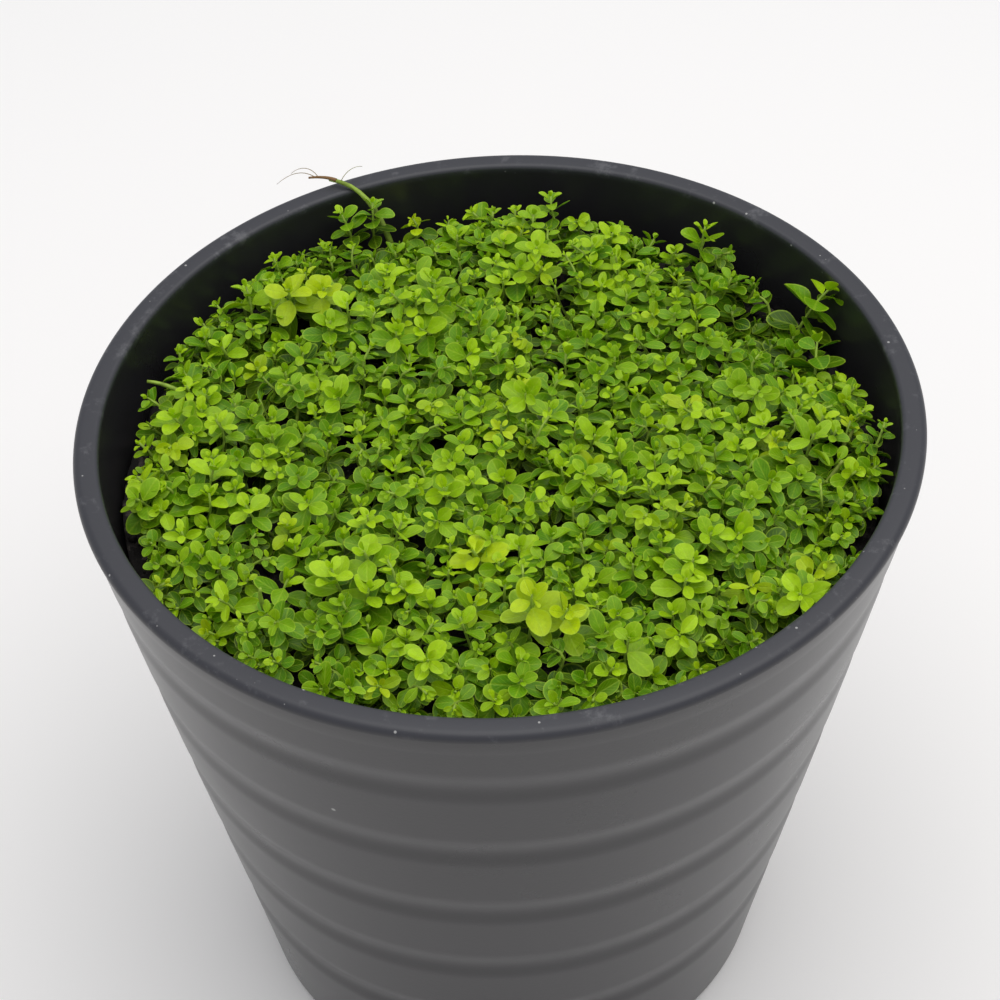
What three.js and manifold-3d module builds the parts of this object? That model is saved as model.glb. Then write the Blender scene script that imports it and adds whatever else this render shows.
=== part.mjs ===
// A pot of pearl grass: a tapered pot with shallow grooves round it, its soil, and a mat of small plantlets.
// Millimetres, +Z up, origin at the middle of the face that the pot stands on.
import * as THREE from "three";
import { mergeVertices } from "three/addons/utils/BufferGeometryUtils.js";
import Module from "manifold-3d";

const wasm = await Module();
wasm.setup();

// Pot
const rimRadius = 45; // widest radius of the lip
const potHeight = 82; // floor face to the top of the lip
const lipWidth = 2.7; // flat top of the lip, with its rounded outer edge
const lipRound = 0.9; // radius of the rounded outer edge
const lipDepth = 3.2; // height of the lip, top to underside
const wallThickness = 2.3;
const wallTaper = 0.174; // radius lost for each millimetre down
const floorThickness = 2.6;
const footWidth = 3.6; // ring that the pot stands on
const footRecess = 1; // hollow under the floor, inside the foot ring
const footRound = 1.5; // rounded bottom edge
const outOfRound = 0.0155; // share by which the thin pot is wider one way and narrower across it
const outOfRoundTurn = THREE.MathUtils.degToRad(38); // direction in which it is wider

// Grooves round the pot
const grooveCount = 5;
const firstGrooveDepth = 10.4; // top of the lip to the middle of the first groove
const lastGrooveRise = 18.5; // floor face to the middle of the last groove
const grooveHalfWidth = 3;
const grooveDepth = 0.3;

// Soil
const soilDepth = 9.3; // top of the lip to the soil
const soilWave = 0.3; // height of the soft humps in its top
const humpTurnX = 0.31; // radians of the humps' wave for each millimetre along X
const humpTurnY = 0.27;
const soilLump = 1.6; // a clod that stands up at the back
const soilLumpRadius = 5;
const soilLumpPlace = 0.8; // how far out the clod lies, as a share of the soil's radius

// Plantlets
const plantRows = 3; // rings of plantlets round the middle one
const shootsPerPlantlet = 3;
const leafLength = 3;
const leafWidth = 2.1;
const leafThickness = 0.5;
const shortLeafShare = 0.78; // length of the second pair of leaves against the first
const notchShare = 0.62; // how far in the outline comes between two leaves, as a share of half a leaf's width
const bluntShare = 0.86; // where a leaf's broad end starts, as a share of its length
const leafLift = 0.6; // how far a leaf's tip stands above its foot
const stemRadius = 0.32;
const stemTopShare = 0.8; // a stem's tip radius against its foot
const stemFootShare = 0.5; // how far out the stems start, as a share of the crown's radius
const crownRadius = 1;
const crownTopShare = 0.85; // the crown's top radius against its foot
const crownHeight = 1;
const crownGap = 0.5; // from the smooth soil to a crown, enough to clear the soil's facets
const matDrop = 4.3; // top of the lip down to the tips along the wall
const matDome = 4; // how much higher the tips stand in the middle
const plantletTurn = 2.4; // radians from one plantlet's first shoot to the next one's
const tipSpread = 1.2; // step down from one of a plantlet's tips to the next

// Shoots that stand out of the mat
const tallShootRise = 4.5; // top of the lip up to the tallest tip
const tallShootTurn = THREE.MathUtils.degToRad(-85);
const runnerTurn = THREE.MathUtils.degToRad(116); // where the long runner lies over the lip
const runnerShare = 0.7; // how much of the lip's width it crosses
const broadShootTurn = THREE.MathUtils.degToRad(27); // where the shoot with bigger leaves leans to the wall
const broadLeafScale = 1.4;

// Gaps and steps
const clearance = 0.3; // between pieces that touch
const turnSegments = 48;
const stemSides = 3;
const crownSides = 5;
const soilRings = 6;
const grooveSteps = 4;
const lipSteps = 2;

const material = {
  pot: new THREE.MeshStandardMaterial({ color: 0x2b2a2d, roughness: 0.5, metalness: 0 }),
  soil: new THREE.MeshStandardMaterial({ color: 0x17130f, roughness: 0.95, metalness: 0 }),
  plant: new THREE.MeshStandardMaterial({ color: 0x5f9a12, roughness: 0.45, metalness: 0 }),
};

const groovePitch = (potHeight - firstGrooveDepth - lastGrooveRise) / (grooveCount - 1);

// Radius of the plain outer wall, and of the inner one, at a height.
function wallRadius(z) {
  return rimRadius - wallTaper * (potHeight - z);
}

function innerRadius(z) {
  return Math.min(rimRadius - lipWidth, wallRadius(z) - wallThickness);
}

// The pot's walls, the soil and the places of the plants all share this slight oval.
function ovalFactor(angle) {
  return 1 + outOfRound * Math.cos(2 * (angle - outOfRoundTurn));
}

function makeOval(geometry) {
  const position = geometry.getAttribute("position");
  for (let i = 0; i < position.count; i++) {
    const x = position.getX(i);
    const y = position.getY(i);
    const factor = ovalFactor(Math.atan2(y, x));
    position.setXY(i, x * factor, y * factor);
  }
  return geometry;
}

// A profile of [radius, height] pairs turned about Z.
function turned(profile, segments) {
  const points = profile.map(([radius, z]) => new THREE.Vector2(radius, z));
  const geometry = new THREE.LatheGeometry(points, segments);
  return geometry.rotateX(Math.PI / 2);
}

function named(name, geometry, finish) {
  const mesh = new THREE.Mesh(geometry, finish);
  mesh.name = name;
  return mesh;
}

function potMesh() {
  const footRadius = wallRadius(0);
  const profile = [
    [0, footRecess],
    [footRadius - footWidth - footRecess, footRecess],
    [footRadius - footWidth, 0],
    [footRadius - footRound, 0],
    [wallRadius(footRound), footRound],
  ];
  for (let groove = grooveCount - 1; groove >= 0; groove--) {
    const middle = potHeight - firstGrooveDepth - groove * groovePitch;
    for (let step = 0; step <= grooveSteps; step++) {
      const along = (2 * step) / grooveSteps - 1;
      const z = middle + along * grooveHalfWidth;
      const depth = (grooveDepth / 2) * (1 + Math.cos(Math.PI * along));
      profile.push([wallRadius(z) - depth, z]);
    }
  }
  const lipUnderside = potHeight - lipDepth;
  const insideFloor = footRecess + floorThickness;
  profile.push([wallRadius(lipUnderside), lipUnderside]);
  for (let step = 0; step <= lipSteps; step++) {
    const angle = ((step / lipSteps) * Math.PI) / 2;
    profile.push([
      rimRadius - lipRound * (1 - Math.cos(angle)),
      potHeight - lipRound * (1 - Math.sin(angle)),
    ]);
  }
  profile.push(
    [innerRadius(potHeight), potHeight],
    [innerRadius(potHeight - lipDepth), potHeight - lipDepth],
    [innerRadius(insideFloor), insideFloor],
    [0, insideFloor],
  );
  return named("pot", makeOval(turned(profile, turnSegments)), material.pot);
}

// Height of the soil's top: soft humps, and one clod at the back.
function soilTop(x, y) {
  const radius = innerRadius(potHeight - soilDepth) - clearance;
  const humps = Math.sin(x * humpTurnX) * Math.cos(y * humpTurnY);
  const lumpDistance = Math.hypot(x, y - soilLumpPlace * radius) / soilLumpRadius;
  const lump = soilLump * Math.exp(-lumpDistance * lumpDistance);
  const edge = Math.min(1, Math.max(0, (radius - Math.hypot(x, y)) / soilLumpRadius));
  return potHeight - soilDepth + edge * (soilWave * humps + lump);
}

function soilMesh() {
  const bottom = footRecess + floorThickness + clearance;
  const level = potHeight - soilDepth;
  const topRadius = innerRadius(level) - clearance;
  const profile = [
    [0, bottom],
    [innerRadius(bottom) - clearance, bottom],
  ];
  for (let ring = soilRings; ring >= 0; ring--) {
    profile.push([(topRadius * ring) / soilRings, level]);
  }
  const geometry = turned(profile, turnSegments);
  const position = geometry.getAttribute("position");
  for (let i = 0; i < position.count; i++) {
    if (position.getZ(i) > level - clearance) {
      position.setZ(i, soilTop(position.getX(i), position.getY(i)));
    }
  }
  return named("soil", makeOval(geometry), material.soil);
}

// Solids for joining: only positions, with shared vertices merged.
function solidOf(geometry) {
  const bare = geometry.clone();
  bare.deleteAttribute("normal");
  bare.deleteAttribute("uv");
  const merged = mergeVertices(bare, 1e-4);
  const mesh = new wasm.Mesh({
    numProp: 3,
    vertProperties: new Float32Array(merged.getAttribute("position").array),
    triVerts: new Uint32Array(merged.index.array),
  });
  return new wasm.Manifold(mesh);
}

function geometryOf(solid) {
  const mesh = solid.getMesh();
  const geometry = new THREE.BufferGeometry();
  geometry.setAttribute("position", new THREE.BufferAttribute(mesh.vertProperties, 3));
  geometry.setIndex(new THREE.BufferAttribute(mesh.triVerts, 1));
  return geometry;
}

// A straight stem between two points, a little thinner at its far end.
function stemSolid(from, to) {
  const along = new THREE.Vector3().subVectors(to, from);
  const thin = stemTopShare * stemRadius;
  const geometry = new THREE.CylinderGeometry(thin, stemRadius, along.length(), stemSides);
  const turn = new THREE.Quaternion();
  turn.setFromUnitVectors(new THREE.Vector3(0, 1, 0), along.clone().normalize());
  geometry.applyQuaternion(turn);
  const middle = new THREE.Vector3().addVectors(from, to).multiplyScalar(0.5);
  geometry.translate(middle.x, middle.y, middle.z);
  return solidOf(geometry);
}

// The short thick foot of a plantlet, where its stems meet.
function crownSolid(middle) {
  const topRadius = crownTopShare * crownRadius;
  const geometry = new THREE.CylinderGeometry(topRadius, crownRadius, crownHeight, crownSides);
  geometry.rotateX(Math.PI / 2).translate(middle.x, middle.y, middle.z);
  return solidOf(geometry);
}

// Two crossed pairs of leaves in one closed star: a long pair and a shorter pair.
function whorlSolid(tip, turn, scale) {
  const outline = [];
  for (let leaf = 0; leaf < 4; leaf++) {
    const length = scale * leafLength * (leaf % 2 ? shortLeafShare : 1);
    const halfWidth = (scale * leafWidth) / 2;
    const angle = turn + (leaf * Math.PI) / 2;
    const along = new THREE.Vector2(Math.cos(angle), Math.sin(angle));
    const across = new THREE.Vector2(-along.y, along.x);
    const place = (out, side, lift) => {
      const x = tip.x + along.x * out + across.x * side;
      const y = tip.y + along.y * out + across.y * side;
      outline.push(new THREE.Vector3(x, y, tip.z + lift * leafLift));
    };
    const notch = notchShare * halfWidth;
    place(bluntShare * length, -halfWidth, 1);
    place(bluntShare * length, halfWidth, 1);
    place(notch, notch, 0);
  }
  const count = outline.length;
  const top = count;
  const bottom = count + 1;
  const positions = outline.flatMap((point) => [point.x, point.y, point.z]);
  positions.push(tip.x, tip.y, tip.z + leafThickness / 2);
  positions.push(tip.x, tip.y, tip.z - leafThickness);
  const indices = [];
  for (let i = 0; i < count; i++) {
    const next = (i + 1) % count;
    indices.push(top, i, next);
    indices.push(bottom, next, i);
  }
  const geometry = new THREE.BufferGeometry();
  geometry.setAttribute("position", new THREE.Float32BufferAttribute(positions, 3));
  geometry.setIndex(indices);
  return solidOf(geometry);
}

// Places of the plantlets: one in the middle, and rings of 6, 12 and 18 round it.
function plantPlaces() {
  const bedRadius = innerRadius(potHeight - soilDepth) - clearance;
  const spacing = bedRadius / (plantRows + 0.5);
  const places = [{ x: 0, y: 0 }];
  for (let row = 1; row <= plantRows; row++) {
    const inRow = 6 * row;
    for (let i = 0; i < inRow; i++) {
      const angle = (2 * Math.PI * (i + 0.5 * (row % 2))) / inRow;
      const radius = row * spacing * ovalFactor(angle);
      places.push({ x: radius * Math.cos(angle), y: radius * Math.sin(angle) });
    }
  }
  const reach = (spacing * (1 - outOfRound)) / 2 - clearance;
  return { places, bedRadius, reach };
}

// The place in the outer row that lies nearest to a direction.
function outerPlace(places, angle) {
  const first = places.length - 6 * plantRows;
  let best = first;
  for (let i = first; i < places.length; i++) {
    const turn = Math.atan2(places[i].y, places[i].x) - angle;
    const bestTurn = Math.atan2(places[best].y, places[best].x) - angle;
    if (Math.cos(turn) > Math.cos(bestTurn)) {
      best = i;
    }
  }
  return best;
}

// The runner climbs from its plantlet's crown to the lip and lies across it.
function runnerPoints(crown) {
  const factor = ovalFactor(runnerTurn);
  const height = potHeight + clearance + stemRadius;
  const at = (radius, z) => {
    const out = radius * factor;
    return new THREE.Vector3(out * Math.cos(runnerTurn), out * Math.sin(runnerTurn), z);
  };
  const lipInside = rimRadius - lipWidth - clearance - 2 * stemRadius;
  return [crown, at(lipInside, height), at(rimRadius - lipWidth * (1 - runnerShare), height)];
}

function plantletMeshes() {
  const { places, bedRadius, reach } = plantPlaces();
  const runner = outerPlace(places, runnerTurn);
  const broad = outerPlace(places, broadShootTurn);
  const tall = outerPlace(places, tallShootTurn);
  return places.map((place, index) => {
    const floor = soilTop(place.x, place.y) + crownGap;
    const crown = new THREE.Vector3(place.x, place.y, floor + crownHeight * 0.5);
    let solid = crownSolid(crown);
    const scale = index === broad ? broadLeafScale : 1;
    const out = Math.hypot(place.x, place.y) / bedRadius;
    const top = potHeight - matDrop + matDome * (1 - out * out);
    for (let shoot = 0; shoot < shootsPerPlantlet; shoot++) {
      const angle = index * plantletTurn + (2 * Math.PI * shoot) / shootsPerPlantlet;
      const spread = Math.max(0, reach - scale * leafLength);
      const level = index === tall && shoot === 0 ? potHeight + tallShootRise : top;
      const tip = new THREE.Vector3(
        place.x + spread * Math.cos(angle),
        place.y + spread * Math.sin(angle),
        level - leafLift - shoot * tipSpread,
      );
      const foot = crown.clone();
      foot.x += stemFootShare * crownRadius * Math.cos(angle);
      foot.y += stemFootShare * crownRadius * Math.sin(angle);
      solid = solid.add(stemSolid(foot, tip));
      solid = solid.add(whorlSolid(tip, angle, scale));
    }
    if (index === runner) {
      const points = runnerPoints(crown);
      solid = solid.add(stemSolid(points[0], points[1]));
      solid = solid.add(stemSolid(points[1], points[2]));
    }
    const name = `plantlet_${String(index + 1).padStart(2, "0")}`;
    return named(name, geometryOf(solid), material.plant);
  });
}

const pottedPearlGrass = new THREE.Group();
pottedPearlGrass.name = "potted_pearl_grass";
pottedPearlGrass.add(potMesh(), soilMesh(), ...plantletMeshes());

export default pottedPearlGrass;
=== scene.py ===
import math

import bpy
import numpy as np
from mathutils import Matrix, Vector


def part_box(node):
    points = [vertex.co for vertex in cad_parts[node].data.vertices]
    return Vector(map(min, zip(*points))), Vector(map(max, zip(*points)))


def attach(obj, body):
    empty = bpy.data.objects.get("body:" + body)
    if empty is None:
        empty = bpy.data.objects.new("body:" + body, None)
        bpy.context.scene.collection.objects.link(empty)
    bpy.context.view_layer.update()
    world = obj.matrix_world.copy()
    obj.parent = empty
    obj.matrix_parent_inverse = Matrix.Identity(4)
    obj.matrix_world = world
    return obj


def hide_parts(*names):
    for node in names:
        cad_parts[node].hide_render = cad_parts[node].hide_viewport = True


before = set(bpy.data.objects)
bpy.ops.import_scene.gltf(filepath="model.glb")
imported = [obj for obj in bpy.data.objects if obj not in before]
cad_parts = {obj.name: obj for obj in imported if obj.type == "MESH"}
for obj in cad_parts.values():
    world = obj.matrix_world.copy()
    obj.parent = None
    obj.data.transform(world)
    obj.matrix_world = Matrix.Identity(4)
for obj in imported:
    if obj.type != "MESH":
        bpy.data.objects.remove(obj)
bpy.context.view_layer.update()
print("frame loaded")

# Lengths are millimetres. The taper is how far the wall comes in for each millimetre down, and outOfRound is
# a share of the radius.
mm = 0.001
shape = {
    "lipWidth": 2.7, "lipRound": 0.9, "lipDepth": 3.2, "innerRound": 0.55, "trim": 0.04,
    "wall": 2.3, "taper": 0.174, "floor": 2.6, "footWidth": 3.6, "footRecess": 1.0, "footRound": 1.5,
    "outOfRound": 0.0155, "widerWay": math.radians(38), "soilDepth": 9.3, "clearance": 0.3,
}

# The pot's own box gives its height and its mean radius.
potLow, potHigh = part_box("pot")
potHeight = potHigh.z / mm
rimRadius = (potHigh.x - potLow.x + potHigh.y - potLow.y) / 4 / mm - shape["trim"]
floorTop = shape["footRecess"] + shape["floor"]


def ovalFactor(angle):
    # one plus a small share of the cosine of twice the angle from the wider way
    return 1 + shape["outOfRound"] * np.cos(2 * (angle - shape["widerWay"]))


def wallRadius(z):
    # the rim's radius less the taper times the depth under the rim
    return rimRadius - shape["taper"] * (potHeight - z)


def innerRadius(z):
    # the outside less the wall's thickness, but no wider than the lip's opening
    return np.minimum(rimRadius - shape["lipWidth"], wallRadius(z) - shape["wall"])


def makeObject(name, verts, faces, materials, smooth=True):
    # points and faces become one mesh with its materials, on an object at the origin
    mesh = bpy.data.meshes.new(name)
    mesh.from_pydata(np.asarray(verts).tolist(), [], faces)
    mesh.update(calc_edges=True)
    mesh.polygons.foreach_set("use_smooth", [smooth] * len(mesh.polygons))
    for finish in materials:
        mesh.materials.append(finish)
    piece = bpy.data.objects.new(name, mesh)
    bpy.context.scene.collection.objects.link(piece)
    return piece


def gridFaces(rows, columns, wrap=False):
    # each cell of a rows by columns grid of points, as four corners in turn
    last = columns if wrap else columns - 1
    i, j = np.meshgrid(np.arange(rows - 1), np.arange(last), indexing="ij")
    k = (j + 1) % columns
    quads = np.stack([i * columns + j, i * columns + k, (i + 1) * columns + k, (i + 1) * columns + j], -1)
    return quads.reshape(-1, 4)


def repeatFaces(faces, count, step, start):
    # the faces of one part, once for each of its copies, whose points follow each other from the start
    offset = (start + np.arange(count) * step)[:, None, None]
    return (faces[None] + offset).reshape(-1, faces.shape[1])


def turnedSurface(profile, segments):
    # A profile of (radius, height) carried round the axis, times the oval factor; its first and last
    # points are on the axis and become the middles of two fans
    angle = np.linspace(0, 2 * np.pi, segments, endpoint=False)
    body = profile[1:-1]
    radius = body[:, :1] * ovalFactor(angle)[None]
    height = np.repeat(body[:, 1:], segments, 1)
    ring = np.stack([radius * np.cos(angle), radius * np.sin(angle), height], -1).reshape(-1, 3)
    ends = np.array([[0, 0, profile[0, 1]], [0, 0, profile[-1, 1]]])
    verts = np.concatenate([ring, ends])
    faces = gridFaces(len(body), segments, wrap=True).tolist()
    first, last = len(ring), len(ring) + 1
    step = np.arange(segments)
    nextStep = (step + 1) % segments
    top = (len(body) - 1) * segments
    faces += np.stack([np.full(segments, first), nextStep, step], -1).tolist()
    faces += np.stack([np.full(segments, last), top + step, top + nextStep], -1).tolist()
    return verts, faces


def arc(middle, radius, fromAngle, toAngle, steps):
    # the middle plus the radius times the cosine and sine of evenly spaced angles
    angle = np.radians(np.linspace(fromAngle, toAngle, steps))
    return np.stack([middle[0] + radius * np.cos(angle), middle[1] + radius * np.sin(angle)], -1)


def newMaterial(name):
    # an empty material with one shader wired to its output
    finish = bpy.data.materials.new(name)
    finish.use_nodes = True
    tree = finish.node_tree
    tree.nodes.clear()
    out = tree.nodes.new("ShaderNodeOutputMaterial")
    shader = tree.nodes.new("ShaderNodeBsdfPrincipled")
    tree.links.new(shader.outputs[0], out.inputs["Surface"])
    return finish, tree, shader


def addNode(tree, kind, values=None, **settings):
    # one node, with its settings and the values of its own sockets
    node = tree.nodes.new(kind)
    for key, value in settings.items():
        setattr(node, key, value)
    for key, value in (values or {}).items():
        node.inputs[key].default_value = value
    return node


def link(tree, source, target):
    # a wire from one node's output to another's input
    tree.links.new(source, target)


def feed(tree, node, index, value):
    # a number is set on the socket, a tuple is set as an opaque colour, and an output is wired to it
    if isinstance(value, (int, float)):
        node.inputs[index].default_value = value
    elif isinstance(value, tuple):
        node.inputs[index].default_value = (*value, 1)
    else:
        link(tree, value, node.inputs[index])


def maths(tree, operation, *values, clamp=False):
    # one sum of two or three numbers or outputs
    node = addNode(tree, "ShaderNodeMath", operation=operation, use_clamp=clamp)
    for index, value in enumerate(values):
        feed(tree, node, index, value)
    return node.outputs[0]


colourMix = {"share": 0, "first": 6, "second": 7, "result": 2}  # where a Mix node keeps its colour sockets


def mixColour(tree, share, first, second):
    # the first colour, with a share of the second
    node = addNode(tree, "ShaderNodeMix", data_type="RGBA")
    feed(tree, node, colourMix["share"], share)
    feed(tree, node, colourMix["first"], first)
    feed(tree, node, colourMix["second"], second)
    return node.outputs[colourMix["result"]]


def smoothStep(tree, value, low, high):
    # nought below low, one above high, and a smooth rise between them
    node = addNode(tree, "ShaderNodeMapRange", {"From Min": low, "From Max": high},
                   interpolation_type="SMOOTHSTEP")
    link(tree, value, node.inputs["Value"])
    return node.outputs["Result"]


def objectPlace(tree):
    # where a point is on its object, in metres from the shared origin
    return addNode(tree, "ShaderNodeTexCoord").outputs["Object"]


def noise(tree, place, scale, detail, roughness):
    # cloudy noise at a place, from nought to one
    node = addNode(tree, "ShaderNodeTexNoise", {"Scale": scale, "Detail": detail, "Roughness": roughness})
    link(tree, place, node.inputs["Vector"])
    return node.outputs["Fac"]


def splitColour(tree, colour):
    # the three parts of a colour, as three outputs
    node = addNode(tree, "ShaderNodeSeparateColor")
    link(tree, colour, node.inputs[0])
    return node.outputs


def addBump(tree, shader, height, strength, distance):
    # a relief: the height tilts the normal that the shader sees
    bump = addNode(tree, "ShaderNodeBump", {"Strength": strength, "Distance": distance})
    link(tree, height, bump.inputs["Height"])
    link(tree, bump.outputs[0], shader.inputs["Normal"])


def speckGroup():
    # Scattered specks: cells of a given size, of which a given share holds a dot of random radius
    smallest, spread, sharpness = 0.1, 0.22, 9.0
    group = bpy.data.node_groups.new("dustSpecks", "ShaderNodeTree")
    for label, kind, direction, value in (
        ("Vector", "NodeSocketVector", "INPUT", None), ("Scale", "NodeSocketFloat", "INPUT", 600.0),
        ("Share", "NodeSocketFloat", "INPUT", 0.02), ("Mask", "NodeSocketFloat", "OUTPUT", None),
    ):
        socket = group.interface.new_socket(label, in_out=direction, socket_type=kind)
        if value is not None:
            socket.default_value = value
    source = addNode(group, "NodeGroupInput")
    sink = addNode(group, "NodeGroupOutput")
    cells = addNode(group, "ShaderNodeTexVoronoi", {"Randomness": 1.0})
    link(group, source.outputs["Vector"], cells.inputs["Vector"])
    link(group, source.outputs["Scale"], cells.inputs["Scale"])
    parts = splitColour(group, cells.outputs["Color"])
    chosen = maths(group, "LESS_THAN", parts[0], source.outputs["Share"])
    reach = maths(group, "MULTIPLY_ADD", parts[1], spread, smallest)
    inside = maths(group, "SUBTRACT", reach, cells.outputs["Distance"])
    dot = maths(group, "MULTIPLY", maths(group, "MULTIPLY", inside, sharpness, clamp=True), chosen)
    link(group, dot, sink.inputs["Mask"])
    return group


def useGroup(tree, group, vector, **values):
    # a group placed in a material, with its own values; its first output
    node = addNode(tree, "ShaderNodeGroup", values, node_tree=group)
    link(tree, vector, node.inputs["Vector"])
    return node.outputs[0]


specks = speckGroup()

potLook = {
    "grooves": 5, "firstGroove": 10.4, "lastGroove": 18.5, "grooveHalf": 3.0, "grooveDepth": 0.3,
    "segments": 288, "wallSteps": 180, "innerSteps": 40, "arcSteps": 7, "lipSteps": 10,
    "footArc": (-90, -8), "lipArc": (-5, 90), "innerArc": (90, 180), "footEase": 0.2, "floorEase": 1.0,
    "waver": 0.05, "waverFade": 8.0, "waverBelow": 2.0, "waves": ((3, 0.05, 1.0), (5, -0.08, 0.6)),
    "colour": (0.0172, 0.0163, 0.0185), "cloudTone": 1.25, "cloudScale": 45.0, "cloudRange": (0.35, 0.7),
    "lipReflectionColour": (0.030, 0.030, 0.038), "lipBand": (1.2, 0.2), "grainScale": 2600.0,
    "scuffColour": (0.15, 0.148, 0.158), "scuffScale": 420.0, "scuffRange": (0.54, 0.74), "scuffTone": 0.5,
    "dustColour": (0.6, 0.59, 0.57), "dustTone": 0.6, "wallDust": {"Scale": 620.0, "Share": 0.0025},
    "lipDust": {"Scale": 1700.0, "Share": 0.05}, "specular": 0.56, "roughness": 0.29, "lipRoughness": 0.16,
    "cloudRoughness": 0.14, "dustRoughness": 0.3, "dustRelief": 0.8, "relief": (0.12, 0.00006),
}


def potProfile():
    # The plain tapered wall less a raised cosine for each groove, with arcs at the foot, the lip and its
    # inner edge
    s, look = shape, potLook
    pitch = (potHeight - look["firstGroove"] - look["lastGroove"]) / (look["grooves"] - 1)
    z = np.linspace(s["footRound"], potHeight - s["lipDepth"], look["wallSteps"])
    middles = potHeight - look["firstGroove"] - pitch * np.arange(look["grooves"])
    away = np.clip((z[:, None] - middles[None]) / look["grooveHalf"], -1, 1)
    grooves = look["grooveDepth"] * 0.5 * (1 + np.cos(np.pi * away)).sum(1)
    wall = np.stack([wallRadius(z) - grooves, z], -1)
    foot, inside = float(wallRadius(0)), float(innerRadius(potHeight))
    under = arc((foot - s["footRound"], s["footRound"]), s["footRound"], *look["footArc"], look["arcSteps"])
    lipTop = arc((rimRadius - s["lipRound"], potHeight - s["lipRound"]), s["lipRound"],
                 *look["lipArc"], look["lipSteps"])
    inner = arc((inside + s["innerRound"], potHeight - s["innerRound"]), s["innerRound"],
                *look["innerArc"], look["arcSteps"])
    down = np.linspace(potHeight - 2 * s["innerRound"], floorTop + look["floorEase"], look["innerSteps"])
    innerWall = np.stack([innerRadius(down), down], -1)
    ring, ease = foot - s["footWidth"], look["footEase"]
    underside = [[0, s["footRecess"]], [ring - s["footRecess"], s["footRecess"]],
                 [ring - ease, ease / 2], [ring + ease, 0.0]]
    floor = [[float(innerRadius(floorTop)) - look["floorEase"], floorTop], [0, floorTop]]
    return np.concatenate([underside, under, wall, lipTop, inner, innerWall, floor])


def potMaterial():
    # dark plastic, a little cloudy, with a smoother lip that is scuffed and holds more dust than the wall;
    # the lip's top carries a painted reflection, lighter and bluer
    finish, tree, shader = newMaterial("potPlastic")
    look = potLook
    shader.inputs["Specular IOR Level"].default_value = look["specular"]
    place = objectPlace(tree)
    height = addNode(tree, "ShaderNodeSeparateXYZ")
    link(tree, place, height.inputs[0])
    lip = smoothStep(tree, height.outputs["Z"], *[(potHeight - depth) * mm for depth in look["lipBand"]])
    cloud = noise(tree, place, look["cloudScale"], 4.0, 0.6)
    grain = noise(tree, place, look["grainScale"], 2.0, 0.5)
    scuff = noise(tree, place, look["scuffScale"], 5.0, 0.72)
    tone = mixColour(tree, smoothStep(tree, cloud, *look["cloudRange"]),
                     look["colour"], tuple(look["cloudTone"] * c for c in look["colour"]))
    # painted reflection: the top of the lip is painted lighter and bluer, as if it mirrored the bluish sky
    tone = mixColour(tree, lip, tone, look["lipReflectionColour"])
    rubbed = maths(tree, "MULTIPLY", smoothStep(tree, scuff, *look["scuffRange"]), lip)
    tone = mixColour(tree, maths(tree, "MULTIPLY", rubbed, look["scuffTone"]), tone, look["scuffColour"])
    lipDust = maths(tree, "MULTIPLY", useGroup(tree, specks, place, **look["lipDust"]), lip)
    dust = maths(tree, "MAXIMUM", useGroup(tree, specks, place, **look["wallDust"]), lipDust)
    tone = mixColour(tree, maths(tree, "MULTIPLY", dust, look["dustTone"]), tone, look["dustColour"])
    link(tree, tone, shader.inputs["Base Color"])
    smoothest = look["roughness"] - look["cloudRoughness"] / 2
    rough = maths(tree, "MULTIPLY_ADD", cloud, look["cloudRoughness"], smoothest)
    rough = maths(tree, "MULTIPLY_ADD", dust, look["dustRoughness"], rough)
    rough = maths(tree, "MULTIPLY_ADD", lip, look["lipRoughness"], rough)
    link(tree, rough, shader.inputs["Roughness"])
    addBump(tree, shader, maths(tree, "MULTIPLY_ADD", dust, look["dustRelief"], grain), *look["relief"])
    return finish


def buildPot():
    # the turned wall, times one plus slow waves round it that turn with height and fade at both ends
    look = potLook
    verts, faces = turnedSurface(potProfile(), look["segments"])
    angle, z = np.arctan2(verts[:, 1], verts[:, 0]), verts[:, 2]
    wave = sum(size * np.sin(count * angle + twist * z) for count, twist, size in look["waves"])
    underLip = np.clip((potHeight - look["waverBelow"] - z) / look["waverFade"], 0, 1)
    steady = underLip * np.clip(z / look["waverFade"], 0, 1)
    verts[:, :2] *= (1 + look["waver"] * wave * steady / rimRadius)[:, None]
    piece = makeObject("pot_shell", verts * mm, faces, [potMaterial()])
    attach(piece, "root")
    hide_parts("pot")


buildPot()
print("pot done")

soilLook = {
    "seed": 11, "rings": 110, "segments": 280, "wave": 0.3, "humps": (0.31, 0.27),
    "lump": 1.6, "lumpRadius": 5.0, "lumpPlace": 0.8, "fieldCells": 420, "settle": 0.25,
    "clods": 2600, "clodRadius": (0.3, 1.6), "clodFineness": 2.5, "clodShare": 0.7,
    "crumbs": 2300, "crumbRadius": (0.16, 0.75), "crumbFineness": 3, "crumbReach": 0.985, "crumbRise": 0.4,
    "crumbPolar": (50, 90, 130), "crumbSides": 6, "crumbPush": (0.65, 1.25), "crumbStretch": (0.6, 1.2),
    "colour": (0.013, 0.0108, 0.0098), "paleColour": (0.13, 0.108, 0.092), "specular": 0.35,
    "grainScale": 900.0, "grainRange": (0.62, 0.95), "patchScale": 700.0, "patchRange": (0.4, 0.7),
    "roughness": 1.05, "patchRoughness": -0.5, "relief": (0.9, 0.00045),
}
soilLevel = potHeight - shape["soilDepth"]
soilRadius = float(innerRadius(soilLevel)) - shape["clearance"]


def soilTop(x, y):
    # Soft humps, a product of two waves, and one clod at the back; both fade out at the wall
    look = soilLook
    humps = np.sin(x * look["humps"][0]) * np.cos(y * look["humps"][1])
    away = np.hypot(x, y - look["lumpPlace"] * soilRadius) / look["lumpRadius"]
    edge = np.clip((soilRadius - np.hypot(x, y)) / look["lumpRadius"], 0, 1)
    return soilLevel + edge * (look["wave"] * humps + look["lump"] * np.exp(-away * away))


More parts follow.
